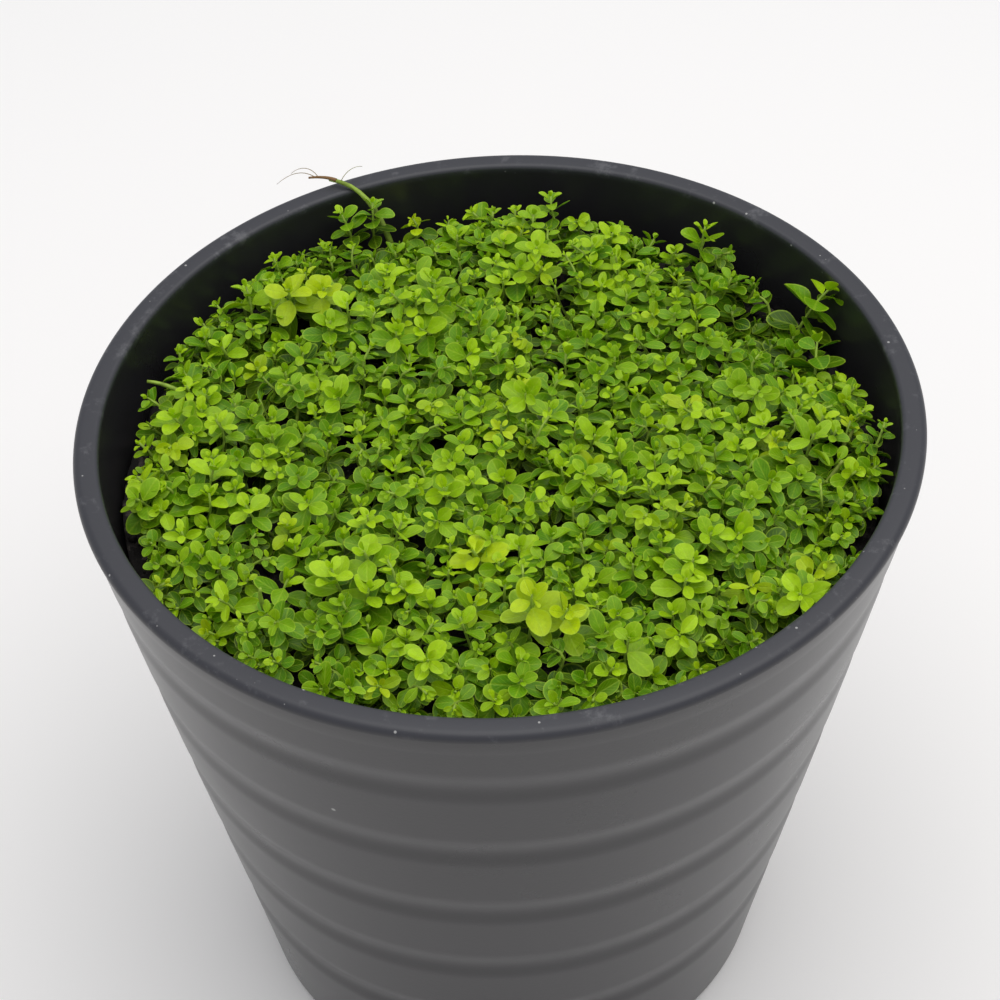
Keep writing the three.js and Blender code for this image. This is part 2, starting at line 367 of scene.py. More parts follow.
def clodField(size, reach, rng):
    # Height of a bed of clods on a square grid: at each point the highest of many round bumps
    look = soilLook
    field = np.zeros((size, size))
    axis = np.linspace(-reach, reach, size)
    cell = axis[1] - axis[0]
    small, large = look["clodRadius"]
    centres = rng.uniform(-reach, reach, (look["clods"], 2))
    radii = small + (large - small) * rng.random(look["clods"]) ** look["clodFineness"]
    for centre, radius in zip(centres, radii):
        low = np.clip(((centre - radius + reach) / cell).astype(int), 0, size - 2)
        high = np.clip(((centre + radius + reach) / cell).astype(int) + 2, 1, size)
        dx = axis[low[0]:high[0]][:, None] - centre[0]
        dy = axis[low[1]:high[1]][None] - centre[1]
        bump = np.sqrt(np.clip(radius ** 2 - dx ** 2 - dy ** 2, 0, None)) * look["clodShare"]
        patch = field[low[0]:high[0], low[1]:high[1]]
        np.maximum(patch, bump, out=patch)
    return field, axis


def sampleField(field, axis, x, y):
    # the field at any place, from the four grid points round it, each weighted by how near it is
    cell = axis[1] - axis[0]
    i = np.clip((x - axis[0]) / cell, 0, len(axis) - 1.001)
    j = np.clip((y - axis[0]) / cell, 0, len(axis) - 1.001)
    i0, j0 = i.astype(int), j.astype(int)
    fi, fj = i - i0, j - j0
    low = field[i0, j0] * (1 - fi) + field[i0 + 1, j0] * fi
    high = field[i0, j0 + 1] * (1 - fi) + field[i0 + 1, j0 + 1] * fi
    return low * (1 - fj) + high * fj


def soilSurface(field, axis, x, y):
    # the humps plus the clods, settled so that the bed keeps its mean level
    return soilTop(x, y) + sampleField(field, axis, x, y) - soilLook["settle"]


def crumbMesh(rng, centres, radii, base):
    # Small rough grains: a ball of rings of points between two poles, stretched, with each point pushed
    # in or out
    look = soilLook
    rings, sides = len(look["crumbPolar"]), look["crumbSides"]
    polar = np.radians(look["crumbPolar"])
    turn = np.linspace(0, 2 * np.pi, sides, endpoint=False)
    ring = np.stack([np.sin(polar)[:, None] * np.cos(turn), np.sin(polar)[:, None] * np.sin(turn),
                     np.repeat(np.cos(polar)[:, None], sides, 1)], -1).reshape(-1, 3)
    ball = np.concatenate([ring, [[0, 0, 1], [0, 0, -1]]])
    count = len(radii)
    push = rng.uniform(*look["crumbPush"], (count, len(ball), 1))
    stretch = rng.uniform(*look["crumbStretch"], (count, 1, 3))
    verts = ball[None] * push * stretch * radii[:, None, None] + centres[:, None]
    step = np.arange(sides)
    after = (step + 1) % sides
    quads = gridFaces(rings, sides, wrap=True)[:, ::-1]
    top = np.stack([np.full(sides, rings * sides), step, after], -1)
    under = (rings - 1) * sides
    bottom = np.stack([np.full(sides, rings * sides + 1), under + after, under + step], -1)
    faces = repeatFaces(quads, count, len(ball), base).tolist()
    faces += repeatFaces(np.concatenate([top, bottom]), count, len(ball), base).tolist()
    return verts.reshape(-1, 3), faces


def soilMaterial():
    # nearly black, with pale fibres where a random cell and a cloudy patch meet
    finish, tree, shader = newMaterial("pottingSoil")
    look = soilLook
    shader.inputs["Specular IOR Level"].default_value = look["specular"]
    place = objectPlace(tree)
    cells = addNode(tree, "ShaderNodeTexVoronoi", {"Scale": look["grainScale"]})
    link(tree, place, cells.inputs["Vector"])
    grain = splitColour(tree, cells.outputs["Color"])[0]
    patch = noise(tree, place, look["patchScale"], 6.0, 0.7)
    pale = maths(tree, "MULTIPLY", smoothStep(tree, grain, *look["grainRange"]),
                 smoothStep(tree, patch, *look["patchRange"]))
    link(tree, mixColour(tree, pale, look["colour"], look["paleColour"]), shader.inputs["Base Color"])
    rough = maths(tree, "MULTIPLY_ADD", patch, look["patchRoughness"], look["roughness"])
    link(tree, rough, shader.inputs["Roughness"])
    addBump(tree, shader, patch, *look["relief"])
    return finish


def buildSoil():
    # a flat turned plug whose top takes the soil's surface, and loose crumbs that lie on it
    look = soilLook
    rng = np.random.default_rng(look["seed"])
    bottom = floorTop + shape["clearance"]
    ringRadii = soilRadius * np.linspace(1, 0, look["rings"])
    profile = np.concatenate([
        [[0, bottom], [float(innerRadius(bottom)) - shape["clearance"], bottom]],
        np.stack([ringRadii, np.full(look["rings"], soilLevel)], -1),
    ])
    verts, faces = turnedSurface(profile, look["segments"])
    onTop = verts[:, 2] > (bottom + soilLevel) / 2
    field, axis = clodField(look["fieldCells"], rimRadius, rng)
    verts[onTop, 2] = soilSurface(field, axis, verts[onTop, 0], verts[onTop, 1])
    reach = soilRadius * np.sqrt(rng.random(look["crumbs"])) * look["crumbReach"]
    turn = rng.uniform(0, 2 * np.pi, look["crumbs"])
    out = reach * ovalFactor(turn)
    x, y = out * np.cos(turn), out * np.sin(turn)
    small, large = look["crumbRadius"]
    radii = small + (large - small) * rng.random(look["crumbs"]) ** look["crumbFineness"]
    centres = np.stack([x, y, soilSurface(field, axis, x, y) + look["crumbRise"] * radii], -1)
    crumbVerts, crumbFaces = crumbMesh(rng, centres, radii, len(verts))
    faces += crumbFaces
    piece = makeObject("potting_soil", np.concatenate([verts, crumbVerts]) * mm, faces, [soilMaterial()])
    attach(piece, "root")
    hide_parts("soil")


buildSoil()
print("soil done")

leafLook = {
    "across": 5, "along": 7, "widthShare": 0.68, "baseShare": 0.4, "fullAt": 0.52, "thickness": 0.045,
    "yellowColour": (0.50, 0.62, 0.004), "youngColour": (0.37, 0.60, 0.004),
    "greenColour": (0.088, 0.25, 0.0012), "oldColour": (0.013, 0.058, 0.001),
    "paleColour": (0.42, 0.62, 0.035), "greenAge": (0.05, 0.55), "oldAge": (0.55, 1.0), "luckTone": 0.22,
    "moodRange": (0.45, 1.0), "moodTone": 0.55,
    "yellowMood": (0.0, 0.12), "yellowAge": (0.3, 0.8), "yellowTone": 0.6,
    "marginRange": (0.84, 0.97), "marginTone": 0.52, "ribRange": (0.03, 0.14), "ribTone": 0.28,
    "veinSlant": -1.1, "veinWaves": 15.0, "veinRange": (0.72, 1.0), "veinFade": (0.6, 0.9), "veinTone": 0.2,
    "mottleScale": 1800.0, "mottleTone": 0.5, "roughness": 0.36, "mottleRoughness": 0.2, "specular": 0.36,
    "sheenColour": (0.88, 1.0, 0.6, 1), "glow": 0.1, "glowReach": (0.45, 0.8, 0.1),
    "relief": (0.6, 0.00006), "ribRelief": -0.6, "veinRelief": -0.35, "mottleRelief": 0.5,
}
stemLook = {
    "radius": 0.24, "taper": 0.45, "steps": 9, "sides": 6,
    "colour": (0.34, 0.50, 0.06), "darkTone": 0.6, "dryColour": (0.24, 0.13, 0.05),
    "streakScale": 900.0, "streakRange": (0.35, 0.7), "roughness": 0.35, "streakRoughness": 0.2,
    "specular": 0.3, "relief": (0.4, 0.00005),
}
# Turns are degrees round the pot from +X; each gap is that to the wall, and each drop is that under the lip.
matLook = {
    "seed": 5, "shoots": 590, "shake": 0.55, "wantedGap": 1.75, "pushShare": 0.12, "relaxSteps": 40,
    "edgeTurns": (-180, -160, -128, -91, -54, -30, -3, 8, 28, 38, 52, 62, 78, 100, 117, 140, 166, 180),
    "edgeGaps": (2.1, 0.8, 0.7, 0.5, 0.4, 0.2, 0.9, 2.0, 2.2, 2.6, 1.6, 4.0, 4.6, 3.2, 2.2, 1.8, 2.6, 2.1),
    "dropTurns": (-180, -90, -20, 5, 20, 36, 50, 65, 90, 140, 180), "leafReach": 1.5,
    "drops": (3.4, 2.0, 2.1, 3.4, 5.6, 5.8, 3.2, 2.6, 2.8, 2.6, 3.4),
    "dome": 2.2, "waver": 0.8, "roughness": 0.8, "topLimit": 86.4, "tipRoom": 0.95,
    "lean": 20.0, "mostLean": 80.0, "edgeLean": 32.0, "edgeFrom": 0.72, "towardsLight": -7.0,
    "strayShare": 0.1, "strayLean": 55.0, "strayRise": 0.9, "straySpacing": 1.5, "spacing": (0.8, 1.25),
    "smallShare": 0.4, "smallScale": (0.55, 0.78), "smallSink": 0.5, "scale": (0.84, 1.2),
    "narrowShare": 0.3, "narrow": (0.66, 0.85), "wide": (0.92, 1.14), "olderSpread": 0.1, "lowShadeAndAge": 0.24,
    "shadeTurn": 34.0, "shadeSpread": 17.0, "shadeFrom": 31.0, "shadeBand": 3.1, "paintedShadeAge": 0.45,
    "crownStep": 0.5, "lowReach": 0.315, "lowRise": 0.25, "highReach": 0.42,
    "wallGap": 0.15, "lipGap": 0.1, "soilGap": 0.05,
}
fillerLook = {
    "count": 75, "turnSpread": 0.02, "reach": (-2.0, 0.3), "sink": (0.8, 2.4), "scale": (0.66, 0.9),
    "lean": 32.0, "leanSpread": 12.0, "waySpread": 0.5, "mood": (0.2, 1), "olderAndShaded": (0.05, 0.3),
    "spacing": (0.8, 1.2),
}
# The crossed pairs of leaves, from the tip down: how far under the tip, how long, how steep and how old.
pairLook = {
    "drop": (0.0, 0.3, 0.8, 1.5, 2.4, 3.5, 4.9), "length": (0.85, 1.5, 2.2, 2.75, 3.0, 3.0, 2.8),
    "rise": (62, 40, 24, 12, 4, -4, -10), "ageAndShade": (0.0, 0.15, 0.38, 0.58, 0.75, 0.9, 1.05),
    "lowest": 0.06, "footStep": 0.15, "turnSpread": 0.16, "riseSpread": 15.0, "roll": 20.0, "ageSpread": 0.06,
    "facing": 0.1, "facingLeant": 2.2, "facingOpen": 2, "facingAlong": 0.5,
    "lengthSpread": (0.88, 1.12), "widthSpread": (0.92, 1.08), "cup": (0.02, 0.2), "bend": (-0.18, 0.10),
}
# Shoots that stand out: turn and distance of the tip from the middle, its height over the lip, its lean and
# the way of the lean, the size of its leaves, the spacing of its pairs, and its age from young to old.
proudShoots = {
    "broad": (28, 42.2, -1.0, 64, 30, 1.28, 0.95, -0.12),
    "broadLow": (20, 37.4, -2.2, 58, 80, 1.15, 1.1, 0.1),
    "tall": (-85, 30.0, 3.4, 14, -90, 1.12, 1.0, -0.35),
    "tallSide": (-79, 31.5, 2.4, 20, -60, 0.95, 1.0, -0.3),
    "curled": (-4, 40.6, -0.4, 35, 60, 0.62, 1.5, 0.1),
    "runnerTop": (112, 38.2, 0.3, 25, 90, 0.85, 1.0, 0.0),
    "runnerSide": (118, 38.4, 0.2, 32, 150, 0.8, 1.1, 0.0),
    "yellowBack": (139, 31.0, 0.2, 12, -90, 1.16, 0.9, -0.26),
    "yellowBackLow": (133, 28.6, -0.2, 15, -60, 1.0, 0.9, -0.23),
    "backRight": (52, 39.0, -0.6, 25, 60, 1.1, 1.0, -0.2),
    "backMiddle": (80, 36.8, 0.0, 18, 90, 0.9, 1.1, 0.0),
    "leftOut": (172, 38.6, -2.0, 60, 172, 0.8, 1.2, 0.2),
    "leftPale": (178, 35.0, -0.9, 25, 200, 1.2, 0.9, -0.2),
}
proudLook = {"room": 1.9, "broad": 1.08, "yellowUnder": -0.22, "yellowMood": 0.0, "plainMood": 0.3}
# Bare stems: four places of each curve as (across, back, height over the lip), the radius, and how dry it is.
looseStems = {
    "runner": ((-12.4, 34.8, -5.5), (-13.8, 37.0, -1.8), (-15.6, 37.6, 1.4), (-19.4, 39.7, 0.5), 0.42, 0.05),
    "dryEnd": ((-18.6, 39.2, 0.75), (-19.4, 39.7, 0.8), (-20.6, 40.2, 0.6), (-21.9, 40.3, 0.35), 0.24, 1.0),
    "hairLong": ((-21.2, 40.3, 0.5), (-22.6, 40.9, 1.1), (-24.0, 40.6, 1.0), (-25.6, 39.4, 0.2), 0.05, 0.85),
    "hairLow": ((-20.8, 40.2, 0.6), (-21.6, 41.2, 1.3), (-22.9, 41.6, 1.2), (-24.0, 41.2, 0.35), 0.05, 0.85),
    "hairBack": ((-18.0, 38.9, 0.9), (-17.4, 40.0, 1.6), (-16.4, 40.8, 1.6), (-15.6, 41.4, 1.0), 0.045, 0.6),
    "stubRight": ((33.4, -8.4, -5.0), (34.2, -7.9, -3.9), (35.0, -7.3, -2.9), (35.7, -6.9, -1.9), 0.33, 0.15),
    "stubLow": ((35.6, -3.0, -5.5), (36.4, -2.6, -4.4), (37.0, -2.2, -3.4), (37.5, -1.6, -2.4), 0.3, 0.25),
    "bud": ((-24.0, -25.4, -2.6), (-24.2, -25.6, -1.3), (-24.3, -25.7, -0.3), (-24.1, -25.8, 0.8), 0.3, 0.0),
    "leftStem": ((-33.0, 8.0, -5.5), (-35.0, 8.4, -3.8), (-36.6, 8.8, -3.0), (-38.6, 8.8, -2.7), 0.34, 0.0),
}


def leafTemplate():
    # A square grid drawn in to a disc, as a top and an under side that share its rim; half the width is
    # the disc's times a share that grows from the foot to about the middle of the length
    look = leafLook
    v, u = np.meshgrid(np.linspace(-1, 1, look["along"]), np.linspace(-1, 1, look["across"]), indexing="ij")
    disc = np.stack([u * np.sqrt(1 - v * v / 2), v * np.sqrt(1 - u * u / 2)], -1).reshape(-1, 2)
    rim = (np.maximum(np.abs(u), np.abs(v)) == 1).reshape(-1)
    top = gridFaces(look["along"], look["across"])
    inner = np.flatnonzero(~rim)
    under = np.arange(len(disc))
    under[inner] = len(disc) + np.arange(len(inner))
    both = np.concatenate([disc, disc[inner]])
    along = (both[:, 1] + 1) / 2
    share = np.sin(np.clip(along / look["fullAt"], 0, 1) * np.pi / 2)
    return {"disc": both, "across": both[:, 0] * (look["baseShare"] + (1 - look["baseShare"]) * share),
            "along": along, "side": np.concatenate([np.where(rim, 0.0, 1.0), np.full(len(inner), -1.0)]),
            "faces": np.concatenate([top, under[top][:, ::-1]]),
            "rim": np.concatenate([rim, np.zeros(len(inner), bool)])}


leafShape = leafTemplate()


def unit(vectors):
    # each vector over its own length
    return vectors / np.maximum(np.linalg.norm(vectors, axis=-1, keepdims=True), 1e-9)


def sideways(axis):
    # Two vectors square to each axis and to each other, from its cross product with X, or with Y where it
    # lies close to X
    helper = np.where(np.abs(axis[..., :1]) < 0.8, np.array([1.0, 0, 0]), np.array([0, 1.0, 0]))
    first = unit(np.cross(axis, helper))
    return first, np.cross(axis, first)


def ringPlaces(turn, reach, z):
    # points at a direction, a distance from the middle and a height
    return np.stack([reach * np.cos(turn), reach * np.sin(turn), np.zeros(len(turn)) + z], -1)


def leantWays(lean, way):
    # unit vectors that lean from upright by one angle, towards the direction that the other gives
    return np.stack([np.sin(lean) * np.cos(way), np.sin(lean) * np.sin(way), np.cos(lean)], -1)


def leafSurfaces(foot, along, normal, length, width, cup, bend):
    # Each leaf is its foot, plus the way along, plus the way across, plus a rise along its normal that
    # grows with the square of both ways, so that it is a shallow spoon
    across = np.cross(along, normal)
    t = leafShape
    x = t["across"][None] * (width * length / 2)[:, None]
    y = t["along"][None] * length[:, None]
    rise = cup[:, None] * t["across"][None] ** 2 * length[:, None]
    rise = rise + bend[:, None] * t["along"][None] ** 2 * length[:, None]
    rise = rise + t["side"][None] * leafLook["thickness"]
    return (foot[:, None] + x[..., None] * across[:, None] + y[..., None] * along[:, None]
            + rise[..., None] * normal[:, None])


def bezier(points, t):
    # Cubic curve through the first and last of four points, and the way it runs there
    p0, p1, p2, p3 = [points[:, k][:, None] for k in range(4)]
    t = t[..., None]
    s = 1 - t
    place = s ** 3 * p0 + 3 * s * s * t * p1 + 3 * s * t * t * p2 + t ** 3 * p3
    way = 3 * s * s * (p1 - p0) + 6 * s * t * (p2 - p1) + 3 * t * t * (p3 - p2)
    return place, unit(way)


def spreadPlaces(rng):
    # Evenly irregular places in a unit disc: a sunflower spiral, shaken, then pushed apart a few times
    look = matLook
    count = look["shoots"]
    index = np.arange(count) + 0.5
    radius = np.sqrt(index / count)
    turn = index * math.pi * (3 - math.sqrt(5))
    place = np.stack([radius * np.cos(turn), radius * np.sin(turn)], -1)
    place += rng.normal(0, look["shake"] / math.sqrt(count), place.shape)
    wanted = look["wantedGap"] / math.sqrt(count)
    for _ in range(look["relaxSteps"]):
        away = place[:, None] - place[None]
        gap = np.linalg.norm(away, axis=-1) + np.eye(count)
        push = np.clip(wanted - gap, 0, None) / gap
        np.fill_diagonal(push, 0)
        place += look["pushShare"] * (push[..., None] * away).sum(1)
        far = np.linalg.norm(place, axis=1, keepdims=True)
        place /= np.maximum(far, 1)
    return place


def edgeRadius(turn):
    # How far out the tips stand at a direction: the pot's inner radius less a gap and half a rosette
    gap = np.interp(np.degrees(turn), matLook["edgeTurns"], matLook["edgeGaps"])
    return innerRadius(potHeight) * ovalFactor(turn) - gap - matLook["leafReach"]


def matHeight(x, y, out):
    # Low along the wall, as deep as its direction says, higher in the middle, with two slow waves
    look = matLook
    drop = np.interp(np.degrees(np.arctan2(y, x)), look["dropTurns"], look["drops"])
    drop = out * drop + (1 - out) * np.mean(look["drops"])
    slow = np.sin(x * 0.21 + 0.7) * np.cos(y * 0.19 + 0.3) + 0.6 * np.sin(x * 0.37 - y * 0.33)
    return potHeight - drop + look["dome"] * (1 - out ** 2) + look["waver"] * slow


def spreadShoots(rng):
    # Where each shoot ends and how it leans: upright in the middle, outwards along the wall, and some
    # astray
    look = matLook
    disc = spreadPlaces(rng)
    count = len(disc)
    turn = np.arctan2(disc[:, 1], disc[:, 0])
    out = np.linalg.norm(disc, axis=1)
    tip = ringPlaces(turn, edgeRadius(turn) * out, 0)
    unevenness = rng.normal(0, look["roughness"], count)
    tip[:, 2] = matHeight(tip[:, 0], tip[:, 1], out) + unevenness
    lean = np.abs(rng.normal(0, look["lean"], count))
    stray = rng.random(count) < look["strayShare"]
    lean[stray] += look["strayLean"]
    lean = np.radians(np.minimum(lean, look["mostLean"]))
    own = leantWays(lean, rng.uniform(0, 2 * np.pi, count))
    atEdge = np.clip((out - look["edgeFrom"]) / (1 - look["edgeFrom"]), 0, 1)
    outward = leantWays(np.radians(look["edgeLean"]) * atEdge, turn)
    axis = own + outward
    axis[:, 1] += math.radians(look["towardsLight"])
    axis[:, 2] = own[:, 2] * outward[:, 2]
    small = (rng.random(count) < look["smallShare"]) | stray
    scale = np.where(small, rng.uniform(*look["smallScale"], count), rng.uniform(*look["scale"], count))
    tip[:, 2] += look["strayRise"] * stray - look["smallSink"] * (small & ~stray)
    phase, mood = rng.uniform(0, np.pi, count), rng.random(count)
    # shoots that sit lower get an older, darker colour: partly their age, partly painted shade deep in the
    # mat
    olderAndShaded = rng.normal(0, look["olderSpread"], count) - look["lowShadeAndAge"] * unevenness
    spacing = np.where(stray, look["straySpacing"], rng.uniform(*look["spacing"], count))
    isNarrow = rng.random(count) < look["narrowShare"]
    broad = np.where(isNarrow, rng.uniform(*look["narrow"], count), rng.uniform(*look["wide"], count))
    return {"tip": tip, "axis": unit(axis), "scale": scale, "phase": phase, "mood": mood, "olderAndShaded": olderAndShaded,
            "spacing": spacing, "broad": broad, "proud": np.zeros(count, bool)}


def fillerShoots(rng):
    # small low shoots along the wall, leaning outwards
    look = fillerLook
    count = look["count"]
    turn = np.linspace(-np.pi, np.pi, count, endpoint=False) + rng.normal(0, look["turnSpread"], count)
    tip = ringPlaces(turn, edgeRadius(turn) + rng.uniform(*look["reach"], count), 0)
    tip[:, 2] = matHeight(tip[:, 0], tip[:, 1], np.ones(count)) - rng.uniform(*look["sink"], count)
    lean = np.radians(look["lean"] + rng.normal(0, look["leanSpread"], count))
    axis = leantWays(lean, turn + rng.normal(0, look["waySpread"], count))
    return {"tip": tip, "axis": axis, "scale": rng.uniform(*look["scale"], count),
            "phase": rng.uniform(0, np.pi, count), "mood": rng.uniform(*look["mood"], count),
            "olderAndShaded": rng.uniform(*look["olderAndShaded"], count), "spacing": rng.uniform(*look["spacing"], count),
            "broad": rng.uniform(*matLook["wide"], count), "proud": np.zeros(count, bool)}


def standingOut(rng):
    # the shoots placed one by one, with the same values as the others
    turn, out, rise, lean, way, scale, spacing, olderAndShaded = np.array(list(proudShoots.values()), float).T
    isYellow = olderAndShaded < proudLook["yellowUnder"]
    return {"tip": ringPlaces(np.radians(turn), out, potHeight + rise),
            "axis": leantWays(np.radians(lean), np.radians(way)), "scale": scale, "spacing": spacing,
            "phase": rng.uniform(0, np.pi, len(turn)), "olderAndShaded": olderAndShaded,
            "mood": np.where(isYellow, proudLook["yellowMood"], proudLook["plainMood"]),
            "broad": np.full(len(turn), proudLook["broad"]), "proud": np.ones(len(turn), bool)}


def joinPlans(first, second):
    # two sets of shoots, one after the other in every value
    return {key: np.concatenate([first[key], second[key]]) for key in first}


def planShoots(rng):
    # The whole mat: spread shoots and fillers, of which those close to a proud one give way to it; all
    # are held under the top, and those in the shade at the back right are painted older and darker, as
    # painted shade
    look = matLook
    plan = joinPlans(spreadShoots(rng), fillerShoots(rng))
    proud = standingOut(rng)
    gap = np.linalg.norm(plan["tip"][:, None, :2] - proud["tip"][None, :, :2], axis=-1).min(1)
    plan = {key: values[gap > proudLook["room"]] for key, values in plan.items()}
    plan = joinPlans(plan, proud)
    tip = plan["tip"]
    tip[:, 2] = np.minimum(tip[:, 2], look["topLimit"] - look["tipRoom"] * plan["scale"])
    turn = np.degrees(np.arctan2(tip[:, 1], tip[:, 0]))
    far = np.clip((np.linalg.norm(tip[:, :2], axis=1) - look["shadeFrom"]) / look["shadeBand"], 0, 1)
    near = np.exp(-((turn - look["shadeTurn"]) / look["shadeSpread"]) ** 2)
    # painted shade: shoots near the wall at the back right, other than the proud ones, get an older, darker
    # leaf colour
    plan["olderAndShaded"] = plan["olderAndShaded"] + look["paintedShadeAge"] * far * near * ~plan["proud"]
    return plan


def nearestCrown(places, crowns):
    # which crown is nearest to each place, seen from above
    return np.linalg.norm(places[:, None, :2] - crowns[None, :, :2], axis=-1).argmin(1)


def clampInside(points):
    # Points under the lip's top stay inside the inner wall, over the soil and under the mat's top
    look = matLook
    radius = np.hypot(points[..., 0], points[..., 1])
    turn = np.arctan2(points[..., 1], points[..., 0])
    limit = innerRadius(points[..., 2]) * ovalFactor(turn) - look["wallGap"]
    over = (points[..., 2] < potHeight + look["lipGap"]) & (radius > limit)
    points[..., :2] *= np.where(over, limit / np.maximum(radius, 1e-6), 1)[..., None]
    lowest = soilTop(points[..., 0], points[..., 1]) + look["soilGap"]
    points[..., 2] = np.clip(points[..., 2], lowest, look["topLimit"])
    return points


def shootCurves(tip, axis, crown):
    # From the crown's edge outwards and up, then in along the shoot's own lean to its tip
    look = matLook
    rise = (tip - crown) * np.array([0, 0, 1])
    length = np.linalg.norm(tip - crown, axis=1, keepdims=True)
    flat = unit((tip - crown) * np.array([1, 1, 0]))
    foot = crown + look["crownStep"] * flat
    low = foot + look["lowReach"] * length * flat + look["lowRise"] * rise
    high = tip - look["highReach"] * length * axis
    return np.stack([foot, low, high, tip], 1), length[:, 0]


def plantLeaves(plan, curves, length, rng):
    # Crossed pairs of leaves down each shoot, from the tight tip pair to the old ones near the soil; each
    # rises from its stem by its pair's angle, is turned towards the light, and rolls a little
    look = pairLook
    drop = np.array(look["drop"])[None] * (plan["scale"] * plan["spacing"])[:, None]
    place, way = bezier(curves, np.clip(1 - drop / length[:, None], look["lowest"], 1))
    between = (plan["axis"][:, None] + way) / 2
    first, second = sideways(between)
    way = unit(between)
    pairs = np.arange(len(look["drop"]))
    opened = np.clip(pairs / look["facingOpen"], 0, 1)[None, :, None]
    facing = (look["facing"] + look["facingLeant"] * (1 - plan["axis"][:, None, 2:])) * opened
    leaves = []
    for side in (0, 1):
        turn = plan["phase"][:, None] + pairs[None] * np.pi / 2 + side * np.pi
        turn = turn + rng.normal(0, look["turnSpread"], turn.shape)
        rise = np.radians(np.array(look["rise"])[None] + rng.normal(0, look["riseSpread"], turn.shape))
        flat = np.cos(turn)[..., None] * first + np.sin(turn)[..., None] * second
        along = np.cos(rise)[..., None] * flat + np.sin(rise)[..., None] * way
        normal = -np.sin(rise)[..., None] * flat + np.cos(rise)[..., None] * way
        along = unit(along + look["facingAlong"] * facing * way)
        normal = unit(normal + facing * np.array([0, 0, 1.0]))
        along = unit(along - (along * normal).sum(-1, keepdims=True) * normal)
        roll = np.radians(rng.normal(0, look["roll"], turn.shape))[..., None]
        normal = np.cos(roll) * normal + np.sin(roll) * np.cross(along, normal)
        size = np.array(look["length"])[None] * plan["scale"][:, None]
        wide = leafLook["widthShare"] * plan["broad"][:, None]
        # each leaf's age takes its shoot's offset, which holds painted shade as well as age
        ageAndShade = np.array(look["ageAndShade"])[None] + plan["olderAndShaded"][:, None]
        leaves.append({
            "foot": place + look["footStep"] * flat, "along": along, "normal": normal,
            "length": size * rng.uniform(*look["lengthSpread"], turn.shape),
            "width": wide * rng.uniform(*look["widthSpread"], turn.shape),
            "cup": rng.uniform(*look["cup"], turn.shape), "bend": rng.uniform(*look["bend"], turn.shape),
            "ageAndShade": ageAndShade + rng.normal(0, look["ageSpread"], turn.shape), "luck": rng.random(turn.shape),
            "mood": plan["mood"][:, None] + 0 * turn, "owner": plan["owner"][:, None] + 0 * pairs})
    joined = {}
    for key in leaves[0]:
        stacked = np.stack([part[key] for part in leaves], 2)
        joined[key] = stacked.reshape(-1, 3) if stacked.ndim == 4 else stacked.reshape(-1)
    return joined


def addLooseStems(plan, curves, crowns):
    # The bare stems join the shoots' own: their curves, radii, dryness and the plantlets they belong to
    loose = np.array([values[:4] for values in looseStems.values()], float)
    loose[..., 2] += potHeight
    thick, dry = np.array([values[4:] for values in looseStems.values()], float).T
    count = len(curves)
    return {"curves": np.concatenate([curves, loose]),
            "radius": np.concatenate([np.full(count, stemLook["radius"]), thick]),
            "dry": np.concatenate([np.zeros(count), dry]),
            "owner": np.concatenate([plan["owner"], nearestCrown(loose[:, 0], crowns)])}


def tubes(curves, radius):
    # A round stem carried along each curve, a little thinner towards its tip; both ends are closed
    look = stemLook
    steps, sides = look["steps"], look["sides"]
    t = np.repeat(np.linspace(0, 1, steps)[None], len(curves), 0)
    place, way = bezier(curves, t)
    first, second = sideways(way)
    turn = np.linspace(0, 2 * np.pi, sides, endpoint=False)
    thick = radius[:, None] * (1 - look["taper"] * t)
    ring = (first[:, :, None] * np.cos(turn)[None, None, :, None]
            + second[:, :, None] * np.sin(turn)[None, None, :, None]) * thick[:, :, None, None]
    verts = (place[:, :, None] + ring).reshape(len(curves), -1, 3)
    caps = np.stack([np.arange(sides)[::-1], (steps - 1) * sides + np.arange(sides)])
    return verts, gridFaces(steps, sides, wrap=True), caps


def fall(tree, value, low, high):
    # one below low, nought above high
    return maths(tree, "SUBTRACT", 1.0, smoothStep(tree, value, low, high))


def tintParts(tree):
    # the age with painted shade added, luck and mood of a leaf; on a stem the first is its dryness
    tint = addNode(tree, "ShaderNodeAttribute", attribute_name="tint")
    return splitColour(tree, tint.outputs["Color"])


def leafSkin(tree):
    # the leaf's green by its age with painted shade added, luck and mood: young ones are pale, old and shaded
    # ones dark, a few are yellow
    look = leafLook
    parts = tintParts(tree)
    ageAndShade, luck, mood = parts[0], parts[1], parts[2]
    skin = mixColour(tree, smoothStep(tree, ageAndShade, *look["greenAge"]), look["youngColour"], look["greenColour"])
    skin = mixColour(tree, smoothStep(tree, ageAndShade, *look["oldAge"]), skin, look["oldColour"])
    skin = mixColour(tree, maths(tree, "MULTIPLY", luck, look["luckTone"]), skin, look["youngColour"])
    deeper = maths(tree, "MULTIPLY", smoothStep(tree, mood, *look["moodRange"]), look["moodTone"])
    skin = mixColour(tree, deeper, skin, look["greenColour"])
    yellow = maths(tree, "MULTIPLY", fall(tree, mood, *look["yellowMood"]),
                   fall(tree, ageAndShade, *look["yellowAge"]))
    return mixColour(tree, maths(tree, "MULTIPLY", yellow, look["yellowTone"]), skin, look["yellowColour"])


